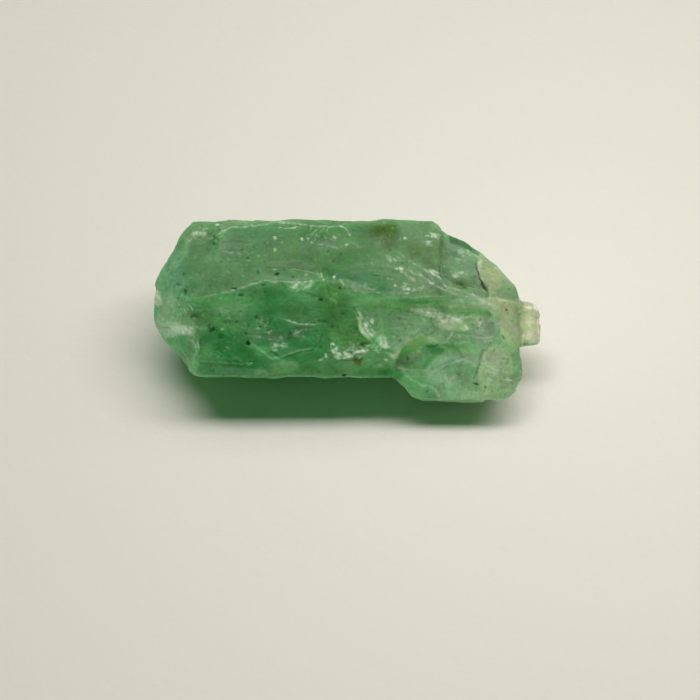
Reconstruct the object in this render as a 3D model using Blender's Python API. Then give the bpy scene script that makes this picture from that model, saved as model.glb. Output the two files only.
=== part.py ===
"""A raw emerald crystal, lying on one of its prism faces: one natural, solid piece.

Beryl grows as a six-sided prism. This one was broken from its rock, so the prism is chipped: its left
end is a blunt break, its right end steps down, a lower block stands in front of that end, and a small
clear stub sticks out beyond it. Each block is the hull of its own corners. The blocks grew together,
so they are joined in one solid, and chips, ledges and pits are cut from that before its skin is
divided into small triangles and roughened.

Row frame: +X along the prism's axis, +Y to the back, +Z up. The origin is at the base, in the middle
of the box that holds the crystal. Lengths are in millimetres, and the mesh is scaled at the end.
"""

import math

import bmesh
import bpy
from mathutils import Matrix, Vector, noise
from mathutils.bvhtree import BVHTree

# ---- driving dimensions, in millimetres -----------------------------------------------------------------
GRID = 0.13            # spacing of the points that the skin is first divided into
TRIANGLES = 9400       # about how many triangles are kept: small ones on ledges, large ones on flat faces
WANDER = 0.055         # how far the broken skin wanders in and out over a millimetre or two
GRAIN = 0.040          # the same over a few tenths
STRIATION = 0.035      # depth of the growth lines along the prism
FLAT_BASE = 0.05       # whatever is lower than this is flat, because the crystal lies on it
FADE = 0.5             # the roughness dies out over this height above that face
REACH = 3.0            # each chip is looked for on the skin from this far outside it
CREASE = 25            # degrees between two faces that makes their edge a sharp one
METRES = 0.001

# ---- the blocks that grew together, each the hull of its corners ------------------------------------------
PRISM = {
    "left break": [(-9.13, 0.45, 3.85), (-9.2, -0.15, 3.4), (-9.12, -0.85, 2.85), (-9.0, -1.4, 2.5),
                   (-8.6, 0.85, 4.55), (-8.5, 1.4, 2.0), (-7.9, 2.6, 3.2)],
    "upper left": [(-8.2, 1.65, 4.85), (-7.9, 2.5, 5.0), (-7.62, 2.83, 5.15), (-7.3, 2.97, 5.25)],
    "top back edge": [(-6.75, 2.95, 5.3), (-3.9, 2.95, 5.55), (1.7, 3.0, 5.5), (4.05, 3.0, 5.35),
                      (4.4, 2.8, 5.2)],
    "top bevel": [(-5.8, 2.2, 5.8), (-2.2, 2.15, 6.0), (4.05, 2.3, 5.8)],
    "ridge": [(-7.25, -1.2, 5.3), (-5.6, -1.3, 5.9), (-3.9, -0.95, 6.3), (-1.3, -0.95, 6.3),
              (2.15, -1.6, 5.85), (4.45, -0.75, 5.5)],
    "front bevel": [(-6.8, -3.9, 3.75), (1.9, -3.85, 3.7)],
    "front edge": [(-8.3, -2.25, 2.6), (-7.95, -2.7, 2.75), (-7.3, -3.85, 2.85), (-6.9, -4.08, 2.85),
                   (2.1, -4.08, 2.85), (4.3, -2.7, 2.8)],
    "back edge": [(-6.4, 3.8, 3.1), (4.3, 3.85, 3.0)],
    "base": [(-6.35, -1.2, 0.0), (-5.6, -2.0, 0.0), (1.2, -2.2, 0.0), (3.8, -1.8, 0.0), (4.7, -0.6, 0.0),
             (4.5, 1.2, 0.0), (3.3, 2.2, 0.0), (-3.2, 2.4, 0.0), (-5.9, 1.9, 0.0), (-7.2, 0.2, 0.5)],
}
RECESS = {  # the lower step beyond the prism's right end
    "top": [(3.6, 2.6, 5.0), (4.5, 2.68, 4.9), (5.38, 2.33, 4.75), (5.83, 2.1, 4.65), (6.25, 1.8, 4.5),
            (3.6, -0.9, 5.2), (6.3, -0.8, 4.75)],
    "below": [(3.6, 3.0, 2.4), (5.6, 2.4, 2.6), (6.5, 0.9, 1.2), (3.6, -2.0, 0.3), (6.6, -1.6, 0.6),
              (3.6, 2.2, 0.5), (5.6, 1.6, 0.9)],
}
CREST = {  # a bar that carries the prism's ridge on to the right
    "back": [(2.8, 0.35, 5.85), (4.65, -0.75, 5.5), (6.2, -0.95, 5.0), (6.8, -0.6, 4.72)],
    "front": [(2.2, -1.5, 5.75), (4.55, -1.3, 5.3), (6.65, -1.35, 4.78)],
    "below": [(2.2, -1.2, 4.0), (6.6, -1.1, 3.6), (2.9, 0.2, 4.0)],
}
HIP = {  # the broad face below that bar
    "top": [(3.2, -1.5, 4.9), (6.9, -1.2, 4.25), (7.6, -1.5, 3.9)],
    "front": [(3.2, -2.9, 3.95), (4.4, -2.85, 3.78), (6.4, -2.85, 3.42), (8.0, -2.6, 3.1)],
    "below": [(3.2, -1.8, 0.6), (7.2, -1.8, 0.9), (7.8, -2.2, 1.8), (7.0, -0.4, 1.0)],
}
WEDGE = {  # the pale end piece, parted from the step by a crack
    "top": [(6.28, 1.86, 4.55), (6.66, 1.4, 4.52), (7.25, 1.03, 4.32), (7.77, 0.56, 3.98), (8.03, 0.2, 3.68),
            (8.1, -0.25, 3.45)],
    "inside": [(6.2, 0.9, 4.8), (6.6, -0.55, 4.95), (6.75, -1.3, 4.72), (7.0, -2.05, 4.2),
               (7.15, -2.7, 3.5), (8.05, -2.45, 3.05)],
    "below": [(6.4, 1.6, 2.8), (7.6, 0.3, 2.2), (7.8, -2.0, 1.8), (6.9, -1.8, 1.0), (6.6, 0.6, 1.4)],
}
FOOT = {  # the lower block in front of the right end
    "top": [(2.35, -3.3, 2.95), (2.75, -3.1, 3.25), (4.35, -2.75, 3.6), (6.4, -2.8, 3.45), (8.1, -2.6, 3.0)],
    "front": [(8.26, -3.1, 2.72), (8.32, -3.45, 2.4), (8.2, -3.85, 2.2), (8.0, -4.25, 2.1),
              (7.65, -4.55, 2.0), (7.3, -4.75, 1.9), (3.3, -4.72, 1.9), (2.95, -4.6, 1.95),
              (2.65, -4.3, 2.1), (2.45, -4.05, 2.3), (2.2, -3.9, 2.45)],
    "below": [(2.9, -3.6, 1.1), (3.6, -4.2, 0.8), (7.1, -4.2, 0.8), (7.8, -3.2, 1.1), (7.2, -1.6, 0.8),
              (3.2, -1.6, 0.5)],
}
STUB = {  # the clear stub at the tip
    "top": [(7.3, -0.3, 3.6), (8.05, -0.25, 3.5), (8.55, -0.15, 3.35), (8.9, -0.25, 3.2), (9.06, -0.4, 3.05)],
    "front": [(9.1, -1.0, 2.75), (9.2, -1.45, 2.6), (9.18, -1.92, 2.45), (9.07, -2.02, 2.4),
              (8.3, -2.1, 2.5), (7.3, -2.1, 2.7)],
    "below": [(7.3, -0.4, 1.8), (8.7, -0.6, 2.0), (8.8, -1.7, 1.8), (7.3, -1.9, 1.7)],
}
JOINED = {"recess": RECESS, "crest": CREST, "hip": HIP, "wedge": WEDGE, "foot": FOOT, "stub": STUB}

# ---- what has broken away -------------------------------------------------------------------------------
FRONT_CHIP = {  # a flake gone from the prism's front face, which leaves the broad face on the right
    "floor": [(0.3, -1.75, 5.42), (2.2, -1.62, 5.12), (6.8, -1.3, 4.33), (6.8, -3.6, 2.9),
              (2.3, -3.55, 3.88)],
    "above": [(0.2, -2.3, 7.4), (2.2, -1.7, 7.4), (6.8, -1.5, 7.4), (6.8, -5.5, 5.0), (2.0, -4.5, 5.4)],
}

# Each scoop is a shallow bowl: (a point near its middle, the way it faces, mouth radii, depth, turn).
SCOOPS = {
    "pool on the front face": ((-2.85, -2.3, 5.1), (0, -0.65, 0.76), (1.5, 1.0), 0.24, 8),
    "flat beside the pool": ((-0.3, -2.4, 5.0), (0.1, -0.65, 0.76), (1.15, 1.05), 0.10, -20),
    "flake low on the left": ((-7.6, -2.9, 3.6), (-0.7, -0.5, 0.5), (0.75, 0.55), 0.11, 30),
    "notch in the top edge": ((-4.8, 2.95, 5.5), (0, 0.75, 0.66), (0.75, 0.55), 0.14, 0),
    "long notch in the top edge": ((0.0, 3.0, 5.6), (0, 0.75, 0.66), (1.75, 0.8), 0.20, 0),
    "hollow on the top": ((-0.2, 1.0, 6.2), (0, 0.05, 1), (1.7, 0.8), 0.09, 12),
    "second hollow on the top": ((-5.5, 0.8, 6.0), (-0.1, 0.05, 1), (1.2, 1.1), 0.08, 0),
    "hollow by the right end": ((3.1, 1.2, 5.9), (0.1, 0.1, 1), (0.9, 0.8), 0.09, 0),
    "hollow in the step": ((5.3, 0.7, 5.0), (0.05, 0, 1), (0.75, 1.0), 0.14, 0),
    "pit low on the front": ((0.45, -3.75, 3.9), (0, -0.7, 0.7), (0.28, 0.24), 0.10, 0),
    "pit in the front face": ((-4.05, -2.6, 4.9), (0, -0.65, 0.76), (0.45, 0.4), 0.07, 0),
    "valley above the foot": ((3.2, -3.2, 3.5), (-0.3, -0.6, 0.8), (0.9, 0.5), 0.15, 25),
    "hollow in the foot": ((4.6, -3.9, 2.8), (0, -0.6, 0.8), (1.1, 0.6), 0.10, 0),
    "dent in the foot's end": ((7.3, -3.8, 2.7), (0.3, -0.5, 0.8), (0.7, 0.6), 0.07, 0),
    "nick above the foot's end": ((8.2, -2.85, 2.75), (1, 0.2, 0.4), (0.3, 0.25), 0.08, 0),
    "bite in the left end": ((-9.0, 0.0, 3.2), (-1, 0.1, 0.2), (0.6, 0.5), 0.07, 0),
    "flake off the upper left": ((-7.7, 1.2, 5.0), (-0.7, 0.2, 0.7), (0.8, 0.7), 0.10, 40),
    "flake off the back": ((-2.6, 3.9, 3.6), (0, 1, 0.15), (1.6, 0.8), 0.30, 6),
    "second flake off the back": ((2.2, 3.8, 2.4), (0, 0.9, -0.4), (1.2, 0.9), 0.26, -12),
    "third flake off the back": ((-5.8, 3.3, 4.4), (-0.2, 1, 0.3), (0.9, 0.7), 0.22, 30),
    "shell under the front": ((-4.4, -3.2, 1.6), (0, -0.8, -0.6), (1.4, 0.7), 0.24, -8),
    "second shell under the front": ((-0.6, -3.1, 1.4), (0, -0.8, -0.6), (1.2, 0.6), 0.20, 14),
    "hollow under the right end": ((6.4, -1.2, 0.7), (0.4, 0, -1), (0.9, 1.1), 0.20, 0),
}

# Each ledge is a step let into the skin: (middle, the way it faces, size along / across, depth, turn).
LEDGES = {
    "step behind the ridge": ((-2.3, 0.1, 6.3), (0, 0.05, 1), (2.9, 0.9), 0.09, -2),
    "step along the top edge": ((-2.4, 2.4, 5.9), (0, 0.5, 0.87), (1.7, 0.45), 0.10, 1),
    "low step on the front": ((-5.0, -3.85, 3.7), (0, -0.75, 0.66), (3.6, 0.5), 0.11, 1),
    "step at the back": ((1.2, 3.55, 4.2), (0, 0.9, 0.45), (4.0, 0.8), 0.16, 2),
    "lower step at the back": ((-4.2, 3.4, 2.0), (0, 0.9, -0.45), (3.4, 0.7), 0.14, -3),
    "step under the front": ((0.8, -3.5, 2.1), (0, -0.8, -0.6), (2.8, 0.6), 0.14, 2),
}


def linked(bm, name):
    """A new object of this mesh, with its faces pointing out."""
    bmesh.ops.recalc_face_normals(bm, faces=bm.faces)
    mesh = bpy.data.meshes.new(name)
    bm.to_mesh(mesh)
    bm.free()
    solid = bpy.data.objects.new(name, mesh)
    bpy.context.scene.collection.objects.link(solid)
    return solid


def hull(name, groups):
    """A solid whose faces span the outermost of these corners."""
    bm = bmesh.new()
    for corners in groups.values():
        for corner in corners:
            bm.verts.new(corner)
    made = bmesh.ops.convex_hull(bm, input=bm.verts)
    inside = {v for v in made["geom_interior"] + made["geom_unused"] if isinstance(v, bmesh.types.BMVert)}
    bmesh.ops.delete(bm, geom=list(inside), context="VERTS")
    return linked(bm, name)


def evaluated(solid):
    """Gives the solid the mesh that its modifiers make of it, and clears them."""
    graph = bpy.context.evaluated_depsgraph_get()
    made = bpy.data.meshes.new_from_object(solid.evaluated_get(graph))
    solid.modifiers.clear()
    solid.data = made


def combine(solid, other, operation):
    """Joins other to solid, or cuts it away, and removes it."""
    step = solid.modifiers.new(operation.lower(), "BOOLEAN")
    step.operation, step.solver, step.object = operation, "EXACT", other
    evaluated(solid)
    bpy.data.objects.remove(other)


def seat(solid, near, facing, turn):
    """A frame on the skin near a point: its origin on the skin, +Z the way it faces, +X along the prism."""
    out = Vector(facing).normalized()
    corners = [v.co for v in solid.data.vertices]
    tree = BVHTree.FromPolygons(corners, [p.vertices for p in solid.data.polygons])
    spot = tree.ray_cast(Vector(near) + out * REACH, -out)[0]
    along = Vector((1, 0, 0)) if abs(out.x) < 0.9 else Vector((0, 1, 0))
    across = out.cross(along).normalized()
    along = across.cross(out)
    frame = Matrix((along, across, out)).transposed().to_4x4()
    frame.translation = spot
    return frame @ Matrix.Rotation(math.radians(turn), 4, "Z")


def scoop(solid, near, facing, mouth, depth, turn):
    """Cuts a bowl of this mouth and depth: the low part of an ellipsoid three times as deep as it cuts."""
    half = 3.0 * depth
    widen = 1.0 / math.sqrt(1.0 - ((half - depth) / half) ** 2)
    shape = Matrix.Diagonal((mouth[0] * widen, mouth[1] * widen, half, 1.0))
    place = seat(solid, near, facing, turn) @ Matrix.Translation((0, 0, half - depth))
    bm = bmesh.new()
    bmesh.ops.create_icosphere(bm, subdivisions=3, radius=1.0, matrix=place @ shape)
    combine(solid, linked(bm, "scoop"), "DIFFERENCE")


def ledge(solid, near, facing, size, depth, turn):
    """Cuts a step with a tilted floor: it is sharp along one long side and dies out along the other."""
    length, width = size
    tilt = math.atan2(depth, width)
    floor = Matrix.Translation((0, 0, 1.0 - depth / 2)) @ Matrix.Diagonal((length, width, 2.0, 1.0))
    place = seat(solid, near, facing, turn) @ Matrix.Rotation(tilt, 4, "X")
    bm = bmesh.new()
    bmesh.ops.create_cube(bm, size=1.0, matrix=place @ floor)
    combine(solid, linked(bm, "ledge"), "DIFFERENCE")


def divide(solid):
    """Divides the skin evenly into many small faces, which joins the blocks without a seam."""
    step = solid.modifiers.new("divide", "REMESH")
    step.mode, step.voxel_size, step.adaptivity = "VOXEL", GRID, 0.0
    evaluated(solid)


def simplify(solid):
    """Merges small faces where the skin is nearly flat, and keeps them where it bends."""
    triangles = sum(len(face.vertices) - 2 for face in solid.data.polygons)
    step = solid.modifiers.new("simplify", "DECIMATE")
    step.decimate_type, step.ratio, step.use_collapse_triangulate = "COLLAPSE", TRIANGLES / triangles, True
    evaluated(solid)


def wandering(at, scale, seed):
    """Smooth noise from -1 to 1 that changes over about this many millimetres along each axis."""
    spot = Vector(a / b for a, b in zip(at, scale))
    return noise.fractal(spot + Vector(seed), 1.0, 2.0, 2)


def roughen(solid):
    """Moves the skin in and out: broad waves, a finer grain, and growth lines that run along the prism."""
    bm = bmesh.new()
    bm.from_mesh(solid.data)
    bm.normal_update()
    moves = []
    for v in bm.verts:
        out = WANDER * wandering(v.co, (1.6, 1.1, 1.1), (0.4, 3.7, 1.9))
        out += GRAIN * wandering(v.co, (0.7, 0.5, 0.5), (5.3, 1.1, 8.6))
        out += STRIATION * wandering(v.co, (6.0, 0.5, 0.5), (7.1, 0.3, 2.2))
        moves.append(v.normal * out * min(max(v.co.z / FADE, 0.0), 1.0))
    for v, move in zip(bm.verts, moves):
        v.co += move
        if v.co.z < FLAT_BASE:
            v.co.z = 0.0
    bm.to_mesh(solid.data)
    bm.free()


def centre(bm):
    """Puts the middle of the crystal's box over the origin."""
    low = [min(v.co[k] for v in bm.verts) for k in range(2)]
    high = [max(v.co[k] for v in bm.verts) for k in range(2)]
    bmesh.ops.translate(bm, verts=bm.verts, vec=(-(low[0] + high[0]) / 2, -(low[1] + high[1]) / 2, 0))


def finish(solid):
    """Centres the crystal, brings it to metres, and shades it smooth between its sharp edges."""
    bm = bmesh.new()
    bm.from_mesh(solid.data)
    for v in bm.verts:
        if v.co.z < FLAT_BASE:
            v.co.z = 0.0
    centre(bm)
    bmesh.ops.scale(bm, verts=bm.verts, vec=(METRES, METRES, METRES))
    bm.to_mesh(solid.data)
    bm.free()
    solid.data.shade_smooth()
    solid.data.set_sharp_from_angle(angle=math.radians(CREASE))


def emerald():
    """Translucent beryl green."""
    material = bpy.data.materials.new("emerald")
    material.use_nodes = True
    shader = material.node_tree.nodes["Principled BSDF"]
    shader.inputs["Base Color"].default_value = (0.12, 0.36, 0.15, 1.0)
    shader.inputs["Roughness"].default_value = 0.25
    shader.inputs["Metallic"].default_value = 0.0
    shader.inputs["IOR"].default_value = 1.58
    shader.inputs["Transmission Weight"].default_value = 0.5
    return material


def main():
    for old in list(bpy.data.objects):
        bpy.data.objects.remove(old)
    crystal = hull("emerald_crystal", PRISM)
    combine(crystal, hull("front chip", FRONT_CHIP), "DIFFERENCE")
    for name, groups in JOINED.items():
        combine(crystal, hull(name, groups), "UNION")
    for bowl in SCOOPS.values():
        scoop(crystal, *bowl)
    for step in LEDGES.values():
        ledge(crystal, *step)
    divide(crystal)
    roughen(crystal)
    simplify(crystal)
    finish(crystal)
    crystal.data.materials.clear()
    crystal.data.materials.append(emerald())


main()
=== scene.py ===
"""The looks of the raw emerald crystal: its fine skin, its material, the paper, the lights and the camera.

The CAD solid has the crystal's form. Here a copy of it is divided finely, and the small ledges, cracks,
pits and flakes are sculpted into its skin. The side that the camera sees follows the photograph: its marks
are placed by pixel coordinates in the 700 x 700 frame, carried on to the skin along the lines of sight of
that one fixed viewpoint. The other sides get marks of the same kinds at random places.

The skin is worked on in millimetres, and brought to metres at the end.
"""

import math

import bmesh
import bpy
import numpy as np
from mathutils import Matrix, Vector, noise
from mathutils.kdtree import KDTree


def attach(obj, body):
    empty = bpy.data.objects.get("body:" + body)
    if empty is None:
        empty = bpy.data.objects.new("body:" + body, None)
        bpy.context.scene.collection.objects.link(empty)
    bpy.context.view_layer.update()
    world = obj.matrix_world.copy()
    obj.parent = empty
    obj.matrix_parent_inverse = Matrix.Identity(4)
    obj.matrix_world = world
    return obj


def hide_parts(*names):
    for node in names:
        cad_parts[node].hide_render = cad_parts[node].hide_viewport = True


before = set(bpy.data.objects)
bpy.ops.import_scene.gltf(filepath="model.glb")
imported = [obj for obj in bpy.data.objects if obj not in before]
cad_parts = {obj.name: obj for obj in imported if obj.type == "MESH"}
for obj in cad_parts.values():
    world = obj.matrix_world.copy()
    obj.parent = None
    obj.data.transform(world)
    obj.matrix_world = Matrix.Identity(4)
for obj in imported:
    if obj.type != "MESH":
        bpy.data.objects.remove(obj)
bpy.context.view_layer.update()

MM = 0.001                          # a millimetre in metres
RANDOM = np.random.default_rng(7)   # every random draw comes from here, so their order matters

# ---- the photograph's viewpoint, in millimetres and pixels ---------------
ELEVATION = math.radians(60.0)      # the camera looks down from this far above the horizon
DISTANCE = 108.8                    # from the camera to the point that it looks at
LENS = 120.0
SENSOR = 36.0
FRAME = 700
LOOK_AT = np.array([0.1315, -2.3284, 3.1])
BACK = np.array([0.0, -math.cos(ELEVATION), math.sin(ELEVATION)])
RIGHT = np.array([1.0, 0.0, 0.0])
UP = np.array([0.0, math.sin(ELEVATION), math.cos(ELEVATION)])
EYE = LOOK_AT + DISTANCE * BACK

# ---- the skin, in millimetres and the photograph's pixels ----------------
COARSE = 0.113          # spacing of the skin's points on the hidden sides; the seen side has half of it
WELD = 1e-7             # metres between corners of the CAD mesh that are one
FRONT = 0.05            # faces that look towards the camera at least this squarely are divided once more
SEEN = (0.05, 0.25)     # how squarely a point faces the camera where its marks begin and are full
SMOOTHING = 5           # rounds of smoothing that take the CAD solid's facets away
SMOOTH_SHARE = 0.6      # how much of the way to its neighbours' mean a round moves a point
RESTING = 0.12          # the skin below this height is left unsmoothed, because the crystal lies on it
RELIEF_HEIGHTS = (0.1, 0.6)     # between these heights the relief grows from nothing to full
RAGGED = 0.9            # pixels that the outlines of marks wander by
RAGGED_SIZE = 0.30      # size of that wandering
FOOT = 1.2              # pixels over which a ledge rises
MARKS = ("white", "dark", "clear")      # bruised or a painted highlight; a grain or crack; how much light passes through

BRUISE_RISE = 0.010     # how far the strongest bruise, flake and speck stand out or sink in
FLAKE_RISE = 0.025
SPECK_SINK = 0.020
HAIR = 1.1              # half width of a short crack, in pixels
UNEVEN = (0.4, 1.3)     # the strengths within a group of marks, as shares of the group's
FACET_LENGTH = 1.8      # small facets are this much longer along the prism than across it
HIDDEN_GRAINS = 130     # marks on the sides that the camera doesn't see
HIDDEN_BRUISES = 90

TEAL_LEFT = (6.0, 9.0)      # millimetres to the left of the middle where the teal begins and is full
GREY_RIGHT = (1.5, 6.0)     # and to the right of it, for the others
STRAW_RIGHT = (6.3, 7.6)
GLASS_RIGHT = (8.1, 8.5)
CLEAR_RIGHT = (6.5, 8.3)
CLOUDY = 0.25               # how much light the stone lets through
STUB_CLEARER = 0.20         # how much more the stub does

# ---- the light -----------------------------------------------------------
LAMPS = [   # name, place, length and width in metres, watts
    ("overhead", (0.186, 0.186, 0.62), (0.99, 0.15), 4.82),
    ("behind", (0.59, 0.372, 0.62), (1.92, 0.30), 2.52),
]
LAMP_COLOUR = (1.0, 0.896, 0.965)
ROOM_COLOUR = (0.33, 1.0, 0.45, 1.0)    # stands for the light that the crystal throws into its shadow
ROOM_STRENGTH = 0.13


def pixels(points):
    """Where points show in the photograph's frame: their x and y in pixels."""
    offset = points - EYE
    scale = LENS / SENSOR * FRAME / -(offset @ BACK)
    return FRAME / 2 + offset @ RIGHT * scale, FRAME / 2 - offset @ UP * scale


def ramp(value, low, high):
    """Smoothly from 0 at low to 1 at high."""
    t = np.clip((value - low) / (high - low), 0.0, 1.0)
    return t * t * (3 - 2 * t)


def fractal(points, scale, seed, octaves=3):
    """Smooth noise from -1 to 1 at each point; scale is its size in millimetres along each axis."""
    scale = np.broadcast_to(np.array(scale, float), 3)
    spots = points / scale + seed
    return np.array([noise.fractal(Vector(s), 1.0, 2.0, octaves) for s in spots])


def skin_mesh():
    """A fine, even copy of the CAD solid's surface, in millimetres, finer where the camera sees it."""
    bm = bmesh.new()
    bm.from_mesh(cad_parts["emerald_crystal"].data)
    bmesh.ops.remove_doubles(bm, verts=bm.verts, dist=WELD)
    bmesh.ops.scale(bm, verts=bm.verts, vec=(1 / MM, 1 / MM, 1 / MM))
    mesh = bpy.data.meshes.new("emerald_skin")
    bm.to_mesh(mesh)
    bm.free()
    draft = bpy.data.objects.new("draft", mesh)
    bpy.context.scene.collection.objects.link(draft)
    divide = draft.modifiers.new("divide", "REMESH")
    divide.mode = "VOXEL"
    divide.voxel_size = COARSE
    graph = bpy.context.evaluated_depsgraph_get()
    fine = bpy.data.meshes.new_from_object(draft.evaluated_get(graph))
    bpy.data.objects.remove(draft)
    bm = bmesh.new()
    bm.from_mesh(fine)
    bm.normal_update()
    to_eye = Vector(BACK)
    front = {e for f in bm.faces if f.normal.dot(to_eye) > FRONT for e in f.edges}
    bmesh.ops.subdivide_edges(bm, edges=list(front), cuts=1, use_grid_fill=True)
    bmesh.ops.triangulate(bm, faces=bm.faces[:])
    bm.to_mesh(fine)
    bm.free()
    return fine


def read(mesh, what, kind):
    """Three numbers for each point of a mesh: its place or its normal."""
    values = np.empty(len(mesh.vertices) * 3, np.float32)
    getattr(mesh, what).foreach_get(kind, values)
    return values.reshape(-1, 3).astype(float)


class Skin:
    """The skin's points, where each shows in the photograph, and the marks that are put on it."""

    def __init__(self, mesh):
        self.mesh = mesh
        self.points = read(mesh, "vertices", "co")
        edges = np.empty(len(mesh.edges) * 2, np.int32)
        mesh.edges.foreach_get("vertices", edges)
        self.edges = edges.reshape(-1, 2)
        self.smooth()
        self.locate()
        self.height = np.zeros(len(self.points))
        self.marks = {name: np.zeros(len(self.points)) for name in MARKS}
        self.colour = np.zeros((len(self.points), 3))

    def average(self, values):
        """Each point's mean over its neighbours."""
        a, b = self.edges.T
        count = np.bincount(a, minlength=len(values)) + np.bincount(b, minlength=len(values))
        values = values.reshape(len(values), -1)
        total = np.zeros_like(values)
        for k in range(values.shape[1]):
            total[:, k] = np.bincount(a, values[b, k], len(values))
            total[:, k] += np.bincount(b, values[a, k], len(values))
        return total / count[:, None]

    def smooth(self):
        """Smooths the skin, and leaves the face that it lies on alone."""
        free = self.points[:, 2] > RESTING
        for _ in range(SMOOTHING):
            self.points[free] += SMOOTH_SHARE * (self.average(self.points) - self.points)[free]

    def locate(self):
        """Finds the normals, the pixels, and how far each point faces the camera."""
        self.mesh.vertices.foreach_set("co", self.points.astype(np.float32).ravel())
        self.mesh.update()
        self.normals = read(self.mesh, "vertex_normals", "vector")
        self.x, self.y = pixels(self.points)
        self.x += RAGGED * fractal(self.points, RAGGED_SIZE, (5.0, 2.0, 8.0))
        self.y += RAGGED * fractal(self.points, RAGGED_SIZE, (1.0, 7.0, 3.0))
        to_eye = EYE - self.points
        to_eye /= np.linalg.norm(to_eye, axis=1)[:, None]
        self.facing = (self.normals * to_eye).sum(1)
        self.seen = ramp(self.facing, *SEEN)

    def raise_skin(self):
        """Moves the points out by the height gathered so far, down to nothing where the crystal lies."""
        lift = self.height * ramp(self.points[:, 2], *RELIEF_HEIGHTS)
        self.points += self.normals * lift[:, None]
        self.points[:, 2] = np.maximum(self.points[:, 2], 0.0)
        self.height[:] = 0.0
        self.locate()

    def to_line(self, line):
        """Each point's distance to a line in pixels, and its side of the line, above 0 on the left."""
        best = np.full(len(self.x), np.inf)
        side = np.zeros(len(self.x))
        for (x0, y0), (x1, y1) in zip(line, line[1:]):
            dx, dy = x1 - x0, y1 - y0
            t = np.clip(((self.x - x0) * dx + (self.y - y0) * dy) / (dx * dx + dy * dy), 0, 1)
            away = np.hypot(self.x - x0 - t * dx, self.y - y0 - t * dy)
            near = away < best
            best[near] = away[near]
            cross = dx * (self.y - y0) - dy * (self.x - x0)
            side[near] = -np.sign(cross[near])
        return best, side

    def step(self, line, width, rise):
        """A ledge: the skin left of the line stands up sharply, and comes down again over width pixels."""
        away, side = self.to_line(line)
        self.height += self.seen * rise * (side > 0) * (1 - ramp(away, 0, width)) * ramp(away, 0, FOOT)

    def spot(self, x, y, wide, high, turn=0.0, soft=0.5):
        """From 1 inside an ellipse to 0 outside it; soft is the share of its radius that it fades over."""
        a = math.radians(turn)
        u = ((self.x - x) * math.cos(a) + (self.y - y) * math.sin(a)) / wide
        v = ((self.y - y) * math.cos(a) - (self.x - x) * math.sin(a)) / high
        return self.seen * (1 - ramp(np.hypot(u, v), 1 - soft, 1 + soft))

    def patch(self, outline, soft):
        """From 1 inside an outline to 0 outside it, over this many pixels to each side of its edge."""
        away = self.to_line([*outline, outline[0]])[0]
        inside = np.zeros(len(self.x), bool)
        for (x0, y0), (x1, y1) in zip(outline, [*outline[1:], outline[0]]):
            if y0 != y1:
                crossing = x0 + (self.y - y0) * (x1 - x0) / (y1 - y0)
                inside ^= ((self.y < y0) != (self.y < y1)) & (self.x < crossing)
        return self.seen * ramp(np.where(inside, away, -away), -soft, soft)

    def finish(self, name):
        """Brings the mesh to metres and hands its marks to the material."""
        mesh = self.mesh
        mesh.vertices.foreach_set("co", (self.points * MM).astype(np.float32).ravel())
        for label, values in self.marks.items():
            attribute = mesh.attributes.new(label, "FLOAT", "POINT")
            attribute.data.foreach_set("value", np.clip(values, 0, 1).astype(np.float32))
        colour = mesh.attributes.new("zone", "FLOAT_COLOR", "POINT")
        rgba = np.ones((len(self.colour), 4), np.float32)
        rgba[:, :3] = self.colour
        colour.data.foreach_set("color", rgba.ravel())
        mesh.update()
        mesh.shade_smooth()
        crystal = bpy.data.objects.new(name, mesh)
        bpy.context.scene.collection.objects.link(crystal)
        return crystal


# ---- what the photograph shows, in its pixels ----------------------------
def linear(*rgb):
    """A colour given as it looks, 0 to 255 a channel, as light."""
    share = np.array(rgb) / 255.0
    return np.where(share <= 0.04045, share / 12.92, ((share + 0.055) / 1.055) ** 2.4)


LEAF = linear(106, 158, 102)   # most of the crystal
DEEP = linear(54, 132, 66)     # its most saturated parts
TEAL = linear(100, 158, 114)   # the left end
GREY = linear(146, 180, 134)   # the right end
FRESH = linear(116, 180, 118)  # bright clean green
STRAW = linear(184, 202, 152)  # the pale wedge
GLASS = linear(230, 232, 188)  # the stub
PAINTED_SHADE = linear(84, 128, 82)    # painted shade: the darker edges of the steps, and darker patches over the faces
MIST = linear(152, 190, 152)   # hazy bluish patches
MOSS = linear(80, 132, 62)     # a browner green inside the front face
OLIVE = linear(74, 112, 24)    # stains
FERN = linear(80, 138, 64)     # the yellower green of the top face
FROST = linear(232, 244, 220)  # bruised white, and the white of the painted highlights
PALE = linear(186, 206, 160)   # thin pale edges
SPECK = linear(12, 54, 16)     # grains of dark mica
DARKEST_PAINTED_SHADE = linear(76, 114, 74)     # the darkest painted shade, at edges of the steps
DOVE = linear(147, 169, 138)   # the middle of the front block, and the right end's step
PAINTED_LIGHT_HAZE = linear(199, 189, 174)   # painted light: a pale pinkish grey that lifts the shaded side of the slot and a few other places
SAND = linear(172, 186, 138)   # the top of the pale wedge
CHALK = linear(184, 195, 158)  # the right of the front block
PAINTED_LIGHT_CREAM = linear(200, 222, 168)  # painted light on the lip behind the front block, which lies in shade
# painted light: the paper's colour inside and outside a round pool of light painted on it
PAPER_IN_PAINTED_POOL = linear(240, 238, 225)
PAPER_OUTSIDE_PAINTED_POOL = linear(213, 211, 198)

PAINTED_LIGHT_FRONT = np.array([0.44, 0.62, 0.58])   # painted light: how much lighter the sides that face the front are painted, for light from inside and the lamp light they miss
# painted light: how much lighter the sides that face left are painted, as the lamps light them less
PAINTED_LIGHT_LEFT = np.array([0.95, 0.75, 0.92])

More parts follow.
